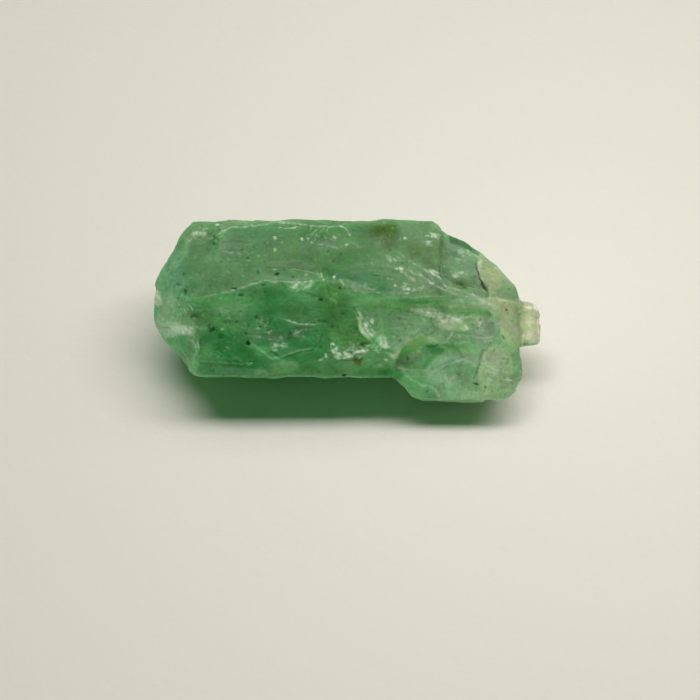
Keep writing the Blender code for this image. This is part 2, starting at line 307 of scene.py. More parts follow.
ZONES = [  # colour, then its ellipses: x, y, half width, half height, strength, and the turn of some
    (DEEP, [(262, 330, 78, 38, 0.42), (225, 347, 26, 14, 0.7), (222, 336, 8, 6, 0.9),
        (243, 358, 24, 8, 0.7), (251, 367, 14, 6, 0.9), (292, 328, 10, 26, 0.5), (272, 305, 20, 14, 0.4),
        (272, 322, 8, 10, 0.5), (312, 345, 18, 12, 0.45), (300, 362, 26, 8, 0.35),
        (186, 287, 10, 10, 0.45), (180, 268, 9, 9, 0.35), (214, 329, 7, 4, 0.6), (332, 272, 22, 7, 0.4, 8),
        (372, 277, 26, 8, 0.5, 12), (340, 256, 14, 6, 0.35), (404, 303, 10, 4, 0.7),
        (425, 299, 20, 2.5, 0.3), (430, 303.5, 18, 3, 0.25), (325, 320, 10, 30, 0.3),
        (345, 325, 12, 24, 0.3), (300, 373, 98, 5, 0.15), (380, 373, 20, 5, 0.5),
        (462, 243, 16, 3, 0.4, 18), (362, 229, 10, 5, 0.35), (255, 232, 14, 5, 0.4, -6),
        (214, 242, 6, 6, 0.4), (470, 372, 5, 9, 0.35, 15), (462, 379, 9, 4, 0.3), (516, 370, 4, 10, 0.4)]),
    (TEAL, [(172, 295, 20, 45, 0.6), (262, 234, 22, 12, 0.45), (300, 335, 20, 12, 0.35),
        (203, 368, 28, 7, 0.5), (458, 262, 16, 20, 0.4), (285, 345, 16, 8, 0.5)]),
    (GREY, [(458, 326, 46, 20, 0.75), (470, 372, 48, 24, 0.55), (405, 245, 26, 22, 0.35),
        (448, 385, 28, 13, 0.5), (184, 326, 22, 8, 0.5, 10), (200, 232, 18, 9, 0.45, -15),
        (235, 226, 28, 3.5, 0.75, -6), (280, 222, 20, 3, 0.5), (500, 368, 18, 17, 0.5),
        (162, 325, 8, 12, 0.55), (420, 338, 26, 8, 0.45, -15), (430, 288, 20, 5, 0.35)]),
    (FRESH, [(266, 353, 18, 6, 0.6, 30), (285, 367, 14, 6, 0.7), (262, 372, 10, 4, 0.5),
        (395, 268, 12, 18, 0.3), (378, 337, 14, 8, 0.5, 40), (420, 388, 16, 10, 0.85, 20),
        (455, 270, 12, 14, 0.4), (300, 300, 14, 8, 0.3), (230, 305, 26, 12, 0.3)]),
    (STRAW, [(498, 284, 17, 24, 0.95, 30), (503, 322, 17, 24, 0.85), (505, 352, 16, 10, 0.3)]),
    (GLASS, [(531, 322, 13, 26, 1.0)]),
    (LEAF, [(508, 293, 11, 6, 0.55, 10)]),
    (FERN, [(335, 250, 62, 24, 0.5), (285, 262, 40, 12, 0.3), (415, 250, 36, 30, 0.45, 15),
        (425, 288, 40, 9, 0.3, 15)]),
    (OLIVE, [(379, 231, 11, 5.5, 1.0, -12), (392, 231, 7, 8, 0.8), (388, 244, 6, 9, 0.6),
        (425, 255, 14, 9, 0.45, 20), (463, 284, 8, 5, 0.6, 20), (340, 300, 14, 22, 0.22),
        (354, 336, 14, 12, 0.28), (194, 316, 6, 3, 0.4), (340, 288, 4, 2, 0.6), (487, 385, 12, 6, 0.25),
        (214, 320, 30, 8, 0.18), (357.5, 361, 6, 4.5, 1.0), (400, 268, 14, 10, 0.2)]),
]

FACETS = [  # faces and patches with an edge: colour, strength, softness of the edge, outline
    # painted shade, partly: deep green laid over the hollow between the body and the front block, where shade
    # falls
    (DEEP, 0.38, 1.2, [(395, 362), (398, 357), (403, 354.5), (412, 354), (417, 351), (421, 347.5),
        (430, 346), (437, 345), (444, 349), (443, 352), (435, 358), (430, 363), (426, 370), (415, 369.5),
        (404, 368), (396, 366)]),
    (DEEP, 0.55, 1.5, [(425, 350), (437, 345), (444, 349), (443, 352), (435, 358), (430, 364),
        (424, 369)]),
    (DEEP, 0.6, 2.0, [(393, 366), (400, 368), (404, 376), (399, 381), (393, 378), (380, 377),
        (378, 371)]),
    (MIST, 0.35, 1.5, [(400, 380), (410, 383), (421, 383), (425, 382), (432, 386), (437, 393), (440, 399),
        (418, 399.5), (411, 397), (404, 390)]),
    (DEEP, 0.15, 3.0, [(418, 387), (430, 387), (437, 397), (420, 398)]),
    (DOVE, 0.45, 1.2, [(430, 364), (437, 357), (445, 353), (460, 354), (478, 355), (480, 362), (478, 372),
        (476, 381), (478, 399), (441, 399), (436, 390), (430, 384), (424, 380), (424, 371)]),
    (MIST, 0.45, 2.5, [(430, 366), (445, 354), (456, 357), (459, 366), (456, 376), (462, 388), (458, 398),
        (442, 398), (437, 390), (430, 384), (426, 378)]),
    (PAINTED_SHADE, 0.2, 3.0, [(458, 362), (474, 366), (477, 378), (474, 390), (464, 388), (456, 378)]),
    (LEAF, 0.55, 2.5, [(374, 352), (388, 353), (397, 358), (395, 365), (388, 369), (372, 371), (364, 367),
        (367, 358)]),
    (CHALK, 0.72, 1.5, [(484, 348), (500, 347), (511, 353), (514, 357), (520, 362), (521, 372), (518, 385),
        (510, 395), (504, 399), (490, 399), (483, 390), (479, 381), (478, 370), (481, 360)]),
    (PALE, 0.35, 3.0, [(484, 351), (498, 351), (500, 364), (495, 375), (485, 375), (481, 363)]),
    (PAINTED_SHADE, 0.2, 3.0, [(499, 384), (512, 380), (515, 388), (506, 396), (498, 394)]),
    (PAINTED_SHADE, 0.35, 2.0, [(513, 355), (519, 358), (522, 368), (518, 373), (513, 366)]),
    (GREY, 0.65, 2.5, [(511, 353), (519, 357), (522, 366), (521, 380), (514, 390), (510, 385), (514, 372),
        (512, 360)]),
    (GREY, 0.35, 3.0, [(490, 382), (508, 380), (512, 388), (504, 398), (490, 398)]),
    (SAND, 0.8, 1.3, [(478, 252), (483, 256), (497, 268), (500, 276), (499, 283), (504, 287), (489, 287),
        (484, 283), (480, 273), (478, 264)]),
    (GREY, 0.6, 1.3, [(489, 289), (504, 287), (514, 288), (518, 299), (500, 298), (489, 297)]),
    (GREY, 0.6, 1.3, [(500, 276), (507, 279), (514, 288), (504, 287), (499, 282)]),
    (STRAW, 1.0, 1.3, [(489, 299), (518, 300), (519, 318), (518, 330), (519, 345), (505, 349), (500, 338),
        (499, 325), (495, 315), (490, 305)]),
    (PAINTED_SHADE, 0.1, 2.0, [(444, 246), (456, 246), (470, 252), (477, 258), (476, 266), (470, 276), (455, 279),
        (444, 272)]),
    (DARKEST_PAINTED_SHADE, 1.0, 1.5, [(448, 235), (460, 239), (471, 244), (480, 251), (478, 256), (465, 248),
        (450, 243)]),
    (DOVE, 0.85, 2.0, [(484, 300), (490, 302), (495, 312), (500, 326), (501, 340), (495, 342), (490, 330),
        (485, 312)]),
    (OLIVE, 0.6, 2.0, [(452, 280), (462, 281), (468, 286), (468, 291), (460, 291), (452, 286)]),
    (PAINTED_SHADE, 0.4, 1.5, [(440, 230), (444, 234), (443, 255), (443, 272), (444, 282), (439, 276),
        (438, 250)]),
    (PAINTED_SHADE, 0.6, 2.0, [(470, 276), (478, 274), (484, 286), (487, 298), (478, 295), (470, 290)]),
    (GREY, 0.6, 1.3, [(448, 288), (460, 291), (476, 297), (488, 303), (480, 301), (460, 298),
        (448, 297)]),
    (LEAF, 0.2, 1.2, [(448, 299), (460, 298), (480, 301), (489, 304), (448, 304)]),
    (PAINTED_LIGHT_HAZE, 0.95, 1.2, [(448, 304), (489, 304), (494, 312), (448, 311)]),
    (PAINTED_LIGHT_HAZE, 0.45, 1.5, [(400, 305), (448, 305), (448, 311), (420, 311), (402, 309)]),
    (LEAF, 0.3, 1.2, [(395, 299), (405, 298), (430, 298), (446, 298), (447, 303), (430, 304), (420, 304),
        (412, 306), (402, 307), (396, 303)]),
    (LEAF, 0.3, 1.5, [(423, 311), (438, 311), (440, 319), (436, 322), (429, 320)]),
    (PALE, 0.6, 1.5, [(440, 320), (450, 318), (462, 319), (470, 326), (470, 330), (455, 331),
        (440, 329)]),
    (LEAF, 0.4, 2.0, [(443, 331), (470, 331), (478, 335), (478, 344), (460, 346), (446, 342)]),
    (DOVE, 0.8, 2.0, [(470, 331), (488, 325), (497, 322), (500, 332), (503, 343), (490, 346),
        (480, 345)]),
    (OLIVE, 0.15, 3.0, [(405, 240), (440, 240), (438, 268), (425, 262), (412, 258), (404, 250)]),
    (PAINTED_LIGHT_CREAM, 1.0, 2.0, [(410, 346), (422, 346), (418, 351), (410, 353), (404, 354), (396, 360),
        (390, 356)]),
    (DEEP, 0.5, 2.5, [(265, 290), (282, 290), (290, 296), (290, 335), (270, 333), (265, 320)]),
    (DEEP, 0.45, 2.0, [(290, 325), (312, 326), (318, 335), (314, 345), (300, 350), (292, 345),
        (288, 335)]),
    (DEEP, 0.5, 2.0, [(310, 350), (325, 345), (330, 352), (320, 360), (318, 372), (300, 372),
        (300, 362)]),
    (DEEP, 0.25, 1.5, [(262, 353), (270, 357), (280, 358), (292, 354), (300, 352), (310, 349), (300, 357),
        (290, 361), (275, 362), (266, 361)]),
    (GREY, 0.5, 1.3, [(270, 366), (276, 362.5), (284, 361.5), (292, 363), (299, 366), (294, 370),
        (280, 373), (272, 375)]),
    (MOSS, 0.5, 3.0, [(320, 282), (345, 282), (350, 300), (345, 320), (350, 335), (330, 340), (322, 330),
        (318, 310), (320, 295)]),
    (MOSS, 0.6, 2.0, [(352, 313), (358, 320), (360, 330), (370, 338), (372, 345), (365, 347), (350, 345),
        (340, 340), (352, 330)]),
    (FRESH, 0.7, 1.5, [(376, 337), (388, 338), (390, 345), (382, 350), (376, 350), (374, 343)]),
    (PALE, 0.8, 1.2, [(358, 316), (362, 318), (361, 326), (366, 332), (373, 335), (369, 339), (362, 335),
        (358, 326)]),
    (DEEP, 0.8, 2.0, [(325, 268), (345, 271), (365, 280), (385, 284), (388, 295), (372, 290), (350, 280),
        (330, 279)]),
    (DEEP, 0.55, 2.5, [(200, 330), (212, 332), (225, 338), (240, 345), (255, 355), (262, 365), (245, 370),
        (225, 364), (200, 362), (200, 345)]),
    (MIST, 0.8, 1.8, [(157, 314), (165, 319), (180, 325), (193, 328), (192, 336), (182, 334), (172, 338),
        (165, 338), (158, 330)]),
    (PAINTED_SHADE, 0.45, 1.5, [(182, 350), (187, 357), (196, 372), (190, 366), (178, 350)]),
    (TEAL, 0.6, 1.5, [(172, 338), (182, 335), (194, 337), (196, 345), (195, 357), (188, 352), (180, 350),
        (174, 347)]),
    (PALE, 0.5, 1.3, [(155, 288), (161, 292), (162, 304), (158, 307), (154, 300)]),
    (GREY, 0.2, 2.5, [(180, 240), (190, 227), (205, 222), (215, 222), (212, 235), (200, 250),
        (185, 255)]),
    (DEEP, 0.42, 2.0, [(207, 224), (220, 224), (221, 234), (212, 246), (206, 240)]),
    (PAINTED_SHADE, 0.35, 1.3, [(221, 222), (232, 223), (258, 222.5), (262, 220.5), (272, 220), (280, 224),
        (270, 224), (257, 226), (240, 229), (226, 231), (220, 228)]),
    (TEAL, 0.4, 3.0, [(165, 270), (180, 252), (185, 262), (182, 280), (186, 295), (175, 300), (163, 300),
        (160, 285)]),
    (PAINTED_SHADE, 0.2, 3.0, [(262, 228), (280, 232), (285, 246), (270, 248), (250, 246), (250, 232)]),
    # partly painted light: the strip along the lowest edge, which faces down, is laid in a lighter teal
    (TEAL, 0.8, 1.5, [(192, 374), (196, 369), (225, 367), (250, 368), (262, 367), (270, 372),
        (268, 376.5), (200, 377)]),
]

CLOUDS = [  # soft darker and paler clouds over the faces, written as ZONES is; the painted shade darkens, and the pale clouds at (408, 353) under the crease are painted light
    (PALE, [(474, 392, 11, 8, 0.6), (480, 318, 8, 6, 0.35), (408, 353, 10, 6, 0.5)]),
    (PAINTED_LIGHT_CREAM, [(419, 342, 13, 5, 0.85, -10)]),
    (GREY, [(382, 306, 28, 6, 0.9, 4), (408, 354, 9, 6, 0.7), (384, 247, 9, 8, 0.25),
        (348, 366, 13, 7, 0.25), (444, 258, 7, 10, 0.25), (204, 354, 8, 10, 0.2)]),
    (PAINTED_SHADE, [(318, 241, 15, 10, 0.5), (436, 276, 15, 10, 0.65, 35), (238, 234, 11, 7, 0.45),
        (474, 295, 16, 4, 0.45, 12), (433, 234, 8, 7, 0.4), (433, 391, 9, 9, 0.35),
        (205, 234, 10, 7, 0.35), (438, 367, 11, 6, 0.35), (276, 270, 11, 5, 0.25), (481, 330, 9, 5, 0.35),
        (431, 330, 10, 6, 0.5), (444, 342, 7, 5, 0.35), (504, 378, 9, 6, 0.35), (194, 330, 8, 5, 0.25),
        (456, 378, 9, 8, 0.35)]),
    (DEEP, [(311, 233, 9, 8, 0.5), (286, 342, 12, 7, 0.5), (264, 342, 9, 6, 0.45), (276, 354, 11, 5, 0.5),
        (378, 289, 16, 9, 0.4, 10), (318, 240, 16, 10, 0.4), (246, 234, 14, 6, 0.25),
        (276, 270, 12, 6, 0.25)]),
    (LEAF, [(292, 311, 16, 13, 0.6), (312, 366, 11, 8, 0.3)]),
    (OLIVE, [(430, 268, 10, 7, 0.3, 20)]),
    (PAINTED_LIGHT_HAZE, [(452, 306, 15, 5, 0.5), (386, 306, 22, 5, 0.3, 3), (168, 306, 8, 11, 0.2),
        (228, 306, 16, 8, 0.15)]),
    (DOVE, [(504, 343, 8, 6, 0.5)]),
]

BRUISES_AND_HIGHLIGHTS = [  # pale lines along edges and healed cracks, and some painted highlights: strength, half width, points
    (0.18, 1.6, [(205, 296), (218, 293.5), (232, 291)]),
    # partly painted highlight: the bright line along the ridge
    (0.35, 1.1, [(232, 291), (242, 287.5), (252, 284), (262, 281)]),
    (0.42, 0.9, [(262, 281), (270, 280.5), (280, 282), (292, 282.5), (305, 282), (316, 280)]),
    (0.3, 1.1, [(268, 270), (285, 269.5), (300, 270.5), (310, 272), (317, 274), (322, 278)]),
    (0.4, 1.2, [(320, 268), (321.5, 274), (322, 279), (326, 285)]),
    (0.4, 1.3, [(216, 236), (222, 231.5), (232, 228.5), (245, 227.5), (257, 225.5), (268, 224)]),
    # painted highlight: a streak of glint along the top
    (0.75, 0.9, [(280, 227.5), (286, 228), (297, 227.5)]),
    (0.4, 1.0, [(294, 229), (297, 226), (301, 224)]),
    (0.35, 1.3, [(268, 222), (280, 222.5), (297, 223), (315, 226), (345, 226)]),
    (0.22, 1.0, [(309, 241), (313, 234), (318, 228)]),
    (0.22, 1.0, [(313, 243), (318, 235), (322, 230)]),
    (0.35, 1.0, [(323, 228), (326, 232), (329, 227)]),
    (0.35, 1.0, [(340, 226), (345, 228), (350, 234)]),
    (0.55, 1.1, [(288, 320), (297, 323), (305, 324.5), (315, 323.5)]),
    (0.4, 1.0, [(312, 315), (315, 319), (316, 322)]),
    (0.22, 1.5, [(258, 347), (265, 353), (272, 358), (280, 357), (290, 353), (298, 350.5), (309, 349)]),
    (0.22, 1.2, [(268, 365), (274, 362.5), (283, 361), (292, 361.5), (299, 365)]),
    (0.25, 1.3, [(198, 361), (210, 362.5), (222, 362.5), (236, 364), (252, 363)]),
    (0.28, 1.2, [(192, 374), (215, 375.5), (240, 376), (300, 376.5), (350, 376.5), (388, 376.5)]),
    (0.75, 1.5, [(172, 337), (176, 334.5), (182, 333.5), (190, 335), (196, 336.5), (198, 343), (199, 351)]),
    (0.3, 1.4, [(182, 350), (187, 359), (191, 368), (196, 375)]),
    (0.4, 1.2, [(187, 338), (193, 341), (196, 347), (197, 354)]),
    (0.25, 1.3, [(159, 315), (167, 321), (176, 331)]),
    (0.22, 1.1, [(178, 303), (182, 309), (186, 317)]),
    # painted highlights: the two short glints at (430, 235) and (431, 238)
    (0.75, 1.0, [(430, 234), (434, 235), (438, 236.5)]),
    (0.65, 1.0, [(431, 237.5), (438, 239)]),
    (0.55, 1.0, [(428, 246), (432.5, 245)]),
    (0.55, 1.0, [(429, 242), (433, 240.5)]),
    (0.55, 1.2, [(408, 261), (418, 266), (428, 271), (436, 277), (444, 284), (448, 288)]),
    (0.38, 1.1, [(398, 268), (408, 271), (418, 275), (428, 281), (438, 287), (446, 291)]),
    (0.38, 1.1, [(448, 287), (458, 289.5), (468, 292), (478, 297), (489, 303)]),
    (0.35, 1.0, [(450, 292), (462, 296), (476, 299), (489, 306)]),
    (0.3, 1.1, [(410, 298), (425, 296.5), (447, 296)]),
    (0.5, 3.0, [(398, 309), (420, 309.5), (447, 310), (470, 310.5), (491, 311)]),
    (0.3, 0.9, [(400, 305.5), (425, 304.5), (447, 304)]),
    (0.4, 1.1, [(447, 309), (468, 308), (489, 307)]),
    (0.35, 1.1, [(393, 311), (403, 312), (412, 315)]),
    (0.3, 1.0, [(396, 315), (406, 317.5)]),
    (0.3, 1.0, [(345, 279), (357, 284), (372, 290), (393, 298)]),
    (0.25, 1.1, [(440, 345), (446, 341), (450, 336), (453, 331)]),
    (0.3, 1.1, [(478, 262), (480, 271), (483, 281), (487, 291), (489, 303), (493, 314), (498, 326)]),
    (0.4, 1.3, [(488, 298), (500, 299.5), (517, 303)]),
    (0.3, 1.3, [(446, 350), (440, 357), (434, 364), (430, 371)]),
    (0.25, 1.2, [(398, 368), (415, 369.5), (430, 371), (447, 371)]),
    (0.35, 1.3, [(423, 385), (432, 386), (438, 392), (441, 399)]),
    (0.35, 1.3, [(418, 399), (440, 399), (470, 399), (504, 399)]),
    (0.35, 1.5, [(488, 349), (484.5, 355), (482.5, 363), (481, 370), (479.5, 378)]),
    (0.35, 1.3, [(500, 346), (508, 340), (514, 335), (519, 334)]),
    # partly painted highlight: the stub's bright rim
    (0.9, 1.1, [(519, 300.5), (528, 302), (535, 306), (538.5, 312), (538, 318)]),
    (0.7, 1.1, [(538, 318), (537, 326), (539.5, 334), (538, 342), (528, 343)]),
    (0.45, 1.0, [(527, 316), (533, 318), (535, 326), (532, 334)]),
]

FLAKES_AND_GLINTS = [  # bruised white patches, and painted glints among them: x, y, half width, half height, strength, and the turn of some
    (300, 287, 12, 4, 0.32, -5), (308, 284, 6, 2.5, 0.38, -10), (294, 289, 4, 2, 0.3, 20),
    (334, 349, 3.0, 6, 0.8, -15), (338, 356, 4, 3.5, 0.7), (332, 344, 2, 2, 0.8),
    (347, 356, 6, 2.6, 0.75, -12), (355, 354, 3.5, 4.5, 0.75, 30), (363, 351, 6.5, 2.0, 0.8, -8),
    (326, 356, 1.6, 1.6, 0.8), (321, 360, 2.4, 1.2, 0.8, -15), (352, 346, 3, 2, 0.35),
    (359, 316, 3, 5, 0.45, -20), (364, 329, 4, 6, 0.6, -35), (369, 335, 5, 3, 0.55, 30),
    (372, 321, 2, 3, 0.35), (381, 340, 6, 5, 0.32, 30), (386, 345, 4, 4, 0.4), (378, 347, 5, 3, 0.35, 20),
    (385, 361, 3, 2.5, 0.45), (378, 366, 5, 2, 0.3, -10), (273, 346, 4, 2.2, 0.5), (281, 339, 3, 2, 0.22),
    # painted highlights: the small glints from (275, 238) to (205, 236)
    (284, 346, 4, 3, 0.22, 20), (275, 350, 3, 1.5, 0.35), (275, 238, 2.2, 1.5, 0.7),
    (302, 239, 1.4, 1.4, 0.5), (346, 245, 1.6, 1.4, 0.6), (335, 237, 2.4, 1.6, 0.35),
    (275, 250, 1.5, 1.5, 0.4), (259, 337, 1.4, 1.2, 0.45), (223, 329, 2.2, 1.2, 0.45),
    (195, 234, 3.5, 3, 0.35), (205, 236, 1.6, 1.6, 0.4), (217, 225, 1.8, 1.4, 0.6),
    (184.5, 333, 1.7, 1.4, 1.0), (184, 330, 12, 5, 0.45, 8), (157.5, 298, 2.6, 9, 0.5),
    (334.5, 277, 1.6, 1.2, 0.6), (405, 238, 1.8, 1.4, 0.6), (434, 273, 6, 2.6, 0.5, 35),
    (441, 279, 4, 1.6, 0.45, 40), (389, 259, 2, 5, 0.3, -25), (403, 286, 3, 1.4, 0.45),
    (409, 289, 3, 1.4, 0.4, 10), (406, 293, 3, 1.2, 0.4), (414, 290, 2, 1.4, 0.4),
    (395, 285, 1.5, 1.5, 0.4), (399, 269, 4, 1.6, 0.35), (430, 315, 5, 3, 0.45, 20), (438, 316, 5, 4, 0.4),
    (455, 317, 9, 4, 0.3), (458, 321, 4, 1.8, 0.5, 20), (465, 328, 4, 3, 0.4, 20), (447, 325, 9, 6, 0.28),
    (480, 322, 4, 2, 0.5, 20), (491, 320, 3, 2, 0.4), (463, 311, 8, 1.8, 0.35), (496, 314.5, 1.8, 1.2, 0.8),
    (479, 331, 4, 3, 0.3), (461, 252, 4, 2.4, 0.3), (468, 251, 2, 1.6, 0.3), (455, 276, 4, 2, 0.3),
    # painted highlights: the glint at (501, 301) and, on the stub, the bright glint at (529, 308)
    (464, 273, 4, 2, 0.25), (480, 265, 2.4, 6, 0.4, 10), (501, 301, 3, 1.2, 0.5),
    (529, 308, 4.5, 1.6, 1.0, 10), (527, 336, 6, 4, 0.5), (469, 307, 21, 6, 0.25, 4),
    (536, 309, 3, 2, 0.8, 40), (508, 379.5, 4, 1.3, 0.5, 8), (487, 379, 3, 1.4, 0.35),
    (450, 380, 12, 4, 0.25), (262, 372, 7, 3, 0.35, 10), (197, 374, 4, 1.5, 0.4),
    (440, 366, 8, 4, 0.2, -40),
]

SPECKS = [  # dark grains: x, y, half width, half height, strength, and the turn of some
    (179, 284, 3, 1.6, 0.4), (184, 291, 4, 3, 0.4), (214, 244, 2, 2.2, 0.6), (247, 258, 1.6, 1.3, 0.7),
    (258, 272, 1.6, 2, 0.6), (277, 274, 2.3, 1.6, 1.0, -15), (293, 277, 1.4, 1.0, 0.6),
    (234, 288.5, 3.4, 1.2, 0.95, 5), (263, 285, 1.8, 1.2, 0.75), (241, 295, 3.2, 1.5, 0.75, -5),
    (265, 292, 1.5, 1.2, 0.5), (320.5, 300, 1.9, 1.3, 1.0, 15), (340, 288.5, 2.2, 1.2, 0.7),
    (193, 316.5, 4, 1.4, 0.35, 10), (212, 330, 3, 1.8, 0.8, -20), (221, 336, 3, 3, 0.5),
    (246, 334, 1.6, 1.4, 0.7), (248, 343, 2.8, 2.4, 1.0), (240, 311, 1.5, 1.2, 0.5),
    (344, 375, 2.0, 1.5, 1.0), (378, 275.5, 3, 0.9, 0.7), (390, 250.5, 2, 1, 0.6),
    (506.5, 310, 1.5, 1.1, 0.8, 30), (503, 337, 1.1, 3, 0.7, -20), (476, 384, 2.6, 1.4, 0.85, 20),
    (485, 387, 1.4, 1.4, 0.6), (408, 359, 1.3, 1.0, 0.4), (415, 358, 1.2, 1.0, 0.3), (237, 322, 2, 1, 0.5),
    (332, 327, 1.7, 1.2, 0.7), (216, 350, 2, 1, 0.5), (212, 371, 3, 1.2, 0.35), (289, 336, 1.6, 5, 0.5, 10),
    (256, 317, 1.4, 1.6, 0.5), (270, 321, 1.4, 3, 0.4, 20), (364, 344, 5, 2.4, 0.6),
    (357.5, 361, 4, 3, 0.35), (355, 357, 2, 2, 0.4), (326, 321, 1.2, 1.2, 0.5),
    (432, 323, 1.1, 6, 0.4, -25), (439, 268, 1.5, 5, 0.3), (508, 313, 1, 1, 0.4), (520, 314, 1.2, 1, 0.5),
    (497, 375, 2, 1.2, 0.35), (503, 388, 2.5, 1.5, 0.3), (503, 359, 2.5, 1.5, 0.3),
    (316, 331, 1.2, 1.2, 0.5),
]

FEATHERS = [  # groups of short pale cracks: x, y, spread across and down, how many, length, turn, strength
    (418, 272, 16, 8, 9, 15, 33, 0.3), (432, 280, 8, 5, 5, 12, 38, 0.35), (405, 288, 9, 5, 9, 4, 10, 0.45),
    (434, 236, 4, 3, 6, 8, 5, 0.55), (430, 244, 3, 3, 5, 4, -10, 0.5), (312, 236, 7, 3, 7, 14, -55, 0.18),
    (298, 288, 8, 3, 16, 6, -60, 0.4), (445, 322, 16, 7, 22, 5, 20, 0.28),
    (480, 325, 10, 6, 14, 5, 25, 0.4), (462, 304, 18, 4, 8, 20, 3, 0.3), (420, 309, 16, 2.5, 8, 16, 5, 0.3),
    (262, 322, 7, 9, 24, 3, 70, 0.3), (184, 330, 9, 4, 18, 5, 10, 0.4), (187, 312, 8, 10, 12, 6, 55, 0.3),
    (352, 350, 14, 7, 30, 4, -20, 0.45), (367, 328, 6, 9, 18, 6, 50, 0.35),
    (382, 345, 8, 8, 16, 4, 30, 0.4), (345, 288, 8, 6, 9, 5, 60, 0.3), (200, 234, 12, 6, 16, 4, -30, 0.35),
    (465, 255, 9, 5, 9, 5, 20, 0.25), (457, 275, 8, 3, 6, 5, 10, 0.3), (503, 370, 10, 10, 14, 4, 40, 0.3),
    (455, 375, 18, 10, 16, 8, 20, 0.25), (330, 243, 18, 8, 22, 4, 30, 0.25),
    (303, 330, 14, 5, 9, 8, 0, 0.3), (470, 295, 12, 3, 7, 14, 15, 0.35), (531, 325, 4, 10, 9, 8, 80, 0.35),
    (275, 345, 9, 6, 14, 4, 20, 0.24), (395, 262, 12, 8, 14, 6, 30, 0.25),
    (225, 350, 22, 12, 12, 4, 15, 0.2), (178, 300, 12, 22, 20, 4, 60, 0.3),
    (360, 345, 22, 18, 28, 3, 20, 0.35), (468, 326, 20, 12, 26, 3, 30, 0.28),
    (235, 255, 30, 18, 24, 3, 20, 0.22), (420, 304, 20, 3, 10, 6, 5, 0.3),
    (415, 330, 14, 10, 18, 3, 40, 0.25), (232, 315, 25, 16, 22, 3, 30, 0.2),
]

MICA = [  # groups of small dark grains: x, y, spread across and down, how many, size, strength
    (262, 322, 8, 9, 18, 1.2, 0.5), (213, 232, 6, 6, 12, 1.5, 0.4), (185, 290, 7, 4, 9, 1.8, 0.4),
    (194, 316, 5, 2.5, 5, 1.2, 0.3), (214, 329, 6, 4, 9, 1.5, 0.5), (335, 255, 9, 6, 9, 1.6, 0.35),
    (300, 262, 20, 8, 16, 1.2, 0.35), (465, 285, 6, 4, 10, 1.5, 0.4), (480, 325, 8, 5, 9, 1.3, 0.35),
    (485, 388, 12, 5, 10, 1.4, 0.35), (430, 325, 5, 7, 9, 1.4, 0.4), (408, 358, 8, 3, 4, 0.9, 0.35),
    (345, 325, 14, 14, 22, 1.2, 0.35), (255, 243, 25, 14, 16, 1.0, 0.35), (400, 268, 18, 10, 16, 1.2, 0.3),
    (455, 370, 18, 10, 16, 1.6, 0.25), (240, 300, 30, 14, 16, 1.2, 0.35), (505, 365, 6, 6, 8, 1.4, 0.25),
    (385, 235, 9, 6, 12, 1.3, 0.35), (352, 350, 12, 6, 14, 1.4, 0.45), (178, 292, 10, 20, 14, 1.4, 0.4),
    (230, 262, 30, 14, 18, 1.1, 0.32), (365, 350, 20, 16, 18, 1.1, 0.35), (415, 325, 16, 12, 14, 1.1, 0.3),
    (500, 370, 12, 14, 12, 1.3, 0.28),
]

CRACKS = [  # dark troughs: depth in mm, half width, strength of the dark, points
    (0.1, 0.8, 0.85, [(475.5, 264), (476.5, 268), (478.5, 274), (481, 281), (484, 287), (487, 290)]),
    (0.08, 2.2, 0.6, [(482, 284), (487, 289), (487.5, 296)]),
    (0.06, 1.6, 0.35, [(484, 350), (481, 356), (479, 363), (477, 370), (474, 379)]),
    (0.05, 2.0, 0.1, [(396, 360), (402, 355), (412, 351.5), (425, 347.5), (445, 345)]),
    (0.04, 1.6, 0.25, [(271, 352), (280, 359), (290, 356), (300, 352.5), (312, 351), (320, 342),
        (322, 336)]),
    (0.03, 1.4, 0.15, [(322, 279), (327, 287), (330, 297)]),
    (0.03, 1.4, 0.15, [(200, 340), (200, 352), (196, 358), (200, 364), (240, 367), (252, 362)]),
    (0.03, 3.0, 0.1, [(441, 228), (441.5, 250), (441, 270), (443, 284)]),
]

LEDGES = [  # steps in the skin, high on the left of the line: rise in mm, pixels to fade over, points
    (0.060, 16, [(316, 280), (292, 282), (262, 281), (232, 291), (205, 296)]),
    (0.045, 12, [(322, 278), (310, 272), (285, 269.5), (268, 270)]),
    (0.070, 14, [(257, 225.5), (245, 227.5), (232, 228.5), (222, 231.5), (214, 240)]),
    (0.045, 9, [(309, 349), (298, 350.5), (290, 353), (280, 357), (272, 358), (262, 350), (254, 344)]),
    (0.050, 12, [(172, 337), (182, 333.5), (196, 336.5), (199, 351)]),
    (0.060, 12, [(448, 288), (436, 277), (428, 271), (408, 261), (396, 250)]),
    (0.045, 10, [(446, 291), (428, 281), (408, 271), (398, 268)]),
    (0.060, 12, [(357, 313), (362, 322), (366, 332), (374, 341), (382, 350), (392, 352)]),
    (0.050, 12, [(329, 340), (334, 350), (336, 360), (350, 361), (356, 355), (370, 350)]),
    (0.050, 14, [(315, 323.5), (305, 324.5), (297, 323), (288, 320)]),
    (0.060, 14, [(430, 371), (434, 364), (440, 357), (446, 350)]),
    (0.050, 12, [(441, 399), (438, 392), (432, 386), (423, 385), (410, 378)]),
    (0.070, 14, [(476, 381), (479, 370), (481, 362), (487, 348)]),
    (0.050, 10, [(489, 303), (478, 297), (468, 292), (448, 287)]),
    (0.040, 10, [(453, 331), (450, 336), (446, 341), (436, 346)]),
    (0.045, 12, [(470, 316), (455, 318), (440, 312), (425, 312)]),
]


